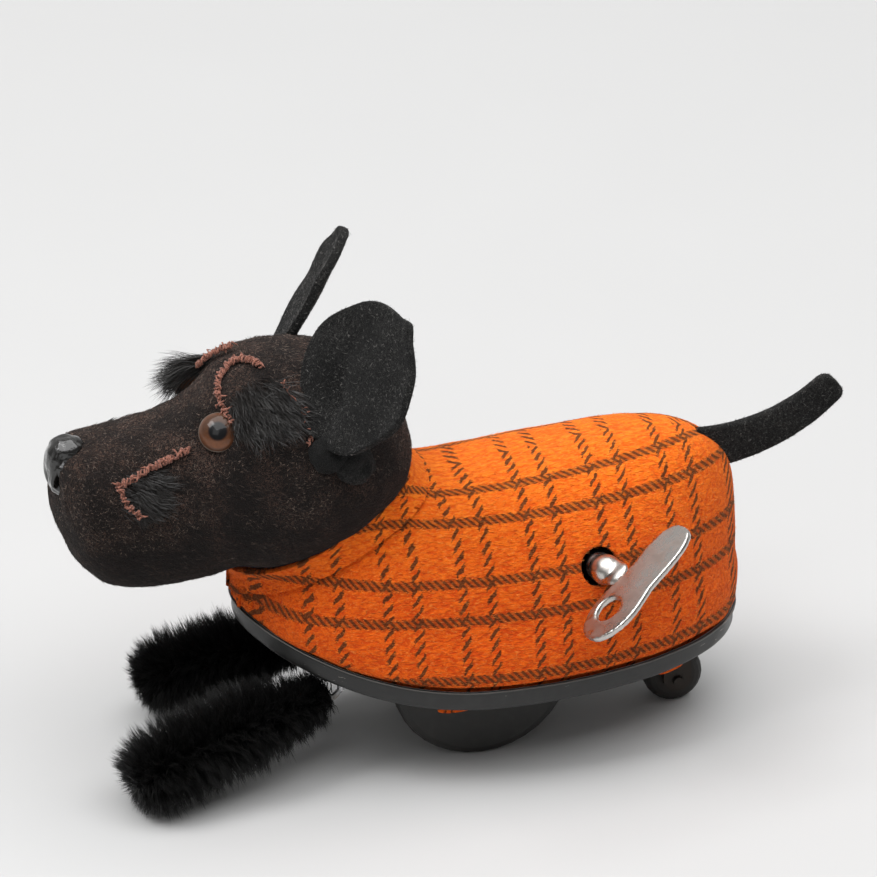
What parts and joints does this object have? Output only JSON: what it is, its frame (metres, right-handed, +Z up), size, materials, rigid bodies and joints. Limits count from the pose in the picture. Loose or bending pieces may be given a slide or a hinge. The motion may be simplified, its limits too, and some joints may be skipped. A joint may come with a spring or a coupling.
{
  "type": "clockwork toy dog",
  "caption": "Wind-up toy terrier: black felt head with glass eyes, checked cloth coat over a tin base, chenille forelegs, drive wheels, rear roller and side key.",
  "frame": {"origin": "centre of the toy's bounding box, on the floor it stands on", "axes": "+Z up; the dog faces -Y, its tail points to +Y, and +X is its left side, where the key is"},
  "size_m": [0.0648, 0.1388, 0.0889],
  "materials": {
    "painted_tin": "satin",
    "wheel_paint": "matte",
    "coat_cloth": "matte",
    "head_felt": "matte",
    "ear_felt": "matte",
    "mohair": "matte",
    "chenille": "matte",
    "nose_wax": "gloss",
    "eye_glass": "gloss",
    "key_nickel": "gloss",
    "frame_steel": "satin",
    "wire_steel": "satin",
    "spring_steel": "satin",
    "gear_brass": "satin",
    "head_card": "matte",
    "neck_wood": "matte"
  },
  "bodies": {
    "toy_body": {"tin_base": "painted_tin", "body_former": "painted_tin", "coat": "coat_cloth", "coat_collar": "coat_cloth", "coat_hem_tab": "coat_cloth", "neck_block": "neck_wood", "head_core": "head_card", "head_felt": "head_felt", "nose": "nose_wax", "eye_left": "eye_glass", "eye_right": "eye_glass", "brow_left": "mohair", "brow_right": "mohair", "moustache_left": "mohair", "moustache_right": "mohair", "ear_left": "ear_felt", "ear_right": "ear_felt", "tail": "ear_felt", "foreleg_left": "chenille", "foreleg_right": "chenille", "foreleg_wire": "wire_steel", "side_plate_left": "frame_steel", "side_plate_right": "frame_steel", "frame_pillar_front": "frame_steel", "frame_pillar_rear": "frame_steel", "frame_pillar_top": "frame_steel", "frame_pillar_low": "frame_steel", "foot_rivet_front_left": "frame_steel", "foot_rivet_front_right": "frame_steel", "foot_rivet_rear_left": "frame_steel", "foot_rivet_rear_right": "frame_steel", "click_rivet": "frame_steel", "roller_bracket": "painted_tin", "roller_pin": "painted_tin"},
    "drive_wheels": {"drive_wheel_left": "wheel_paint", "drive_wheel_right": "wheel_paint", "drive_axle": "frame_steel", "drive_pinion": "frame_steel"},
    "third_set": {"third_arbor": "frame_steel", "third_pinion": "frame_steel", "third_wheel": "gear_brass"},
    "second_set": {"second_arbor": "frame_steel", "second_pinion": "frame_steel", "second_wheel": "gear_brass"},
    "great_set": {"great_wheel": "gear_brass", "spring_post": "frame_steel", "mainspring": "spring_steel"},
    "governor": {"fly_arbor": "frame_steel", "fly_pinion": "frame_steel", "governor_fly": "gear_brass"},
    "winding_set": {"winding_arbor": "frame_steel", "ratchet_wheel": "frame_steel"},
    "key": {"key_wing": "key_nickel", "key_barrel": "key_nickel"},
    "click": {"ratchet_click": "spring_steel"},
    "roller": {"rear_roller": "wheel_paint"}
  },
  "joints": [
    {"name": "drive_turn", "type": "hinge", "parent": "toy_body", "child": "drive_wheels", "pos_m": [-0.00505, 0.00298, 0.0156], "axis": [1, 0, 0], "continuous": true},
    {"name": "third_turn", "type": "hinge", "parent": "toy_body", "child": "third_set", "pos_m": [-0.00505, 0.00131, 0.02566], "axis": [1, 0, 0], "continuous": true},
    {"name": "second_turn", "type": "hinge", "parent": "toy_body", "child": "second_set", "pos_m": [-0.00505, 0.01228, 0.02875], "axis": [1, 0, 0], "continuous": true},
    {"name": "great_turn", "type": "hinge", "parent": "toy_body", "child": "great_set", "pos_m": [-0.00505, 0.02118, 0.0368], "axis": [1, 0, 0], "continuous": true},
    {"name": "governor_turn", "type": "hinge", "parent": "toy_body", "child": "governor", "pos_m": [-0.00505, -0.00739, 0.02972], "axis": [1, 0, 0], "continuous": true},
    {"name": "key_turn", "type": "hinge", "parent": "toy_body", "child": "key", "pos_m": [0.01295, 0.02118, 0.0368], "axis": [0.9416, 0.2905, 0.1703], "continuous": true},
    {"name": "winding_turn", "type": "hinge", "parent": "toy_body", "child": "winding_set", "pos_m": [-0.00505, 0.02118, 0.0368], "axis": [1, 0, 0], "continuous": true},
    {"name": "click_lift", "type": "hinge", "parent": "toy_body", "child": "click", "pos_m": [0.00285, 0.02768, 0.0416], "axis": [1, 0, 0], "range_deg": [0, 20], "stiffness_Nm_per_rad": 0.002, "springref_deg": -17.19},
    {"name": "roller_turn", "type": "hinge", "parent": "toy_body", "child": "roller", "pos_m": [-0.00505, 0.03928, 0.0051], "axis": [1, 0, 0], "continuous": true}
  ],
  "couplings": [
    {"joint": "third_turn", "follows": "drive_turn", "ratio": -0.41667},
    {"joint": "second_turn", "follows": "drive_turn", "ratio": 0.14881},
    {"joint": "great_turn", "follows": "drive_turn", "ratio": -0.049603},
    {"joint": "governor_turn", "follows": "drive_turn", "ratio": 1.25},
    {"joint": "winding_turn", "follows": "key_turn", "ratio": 1}
  ]
}
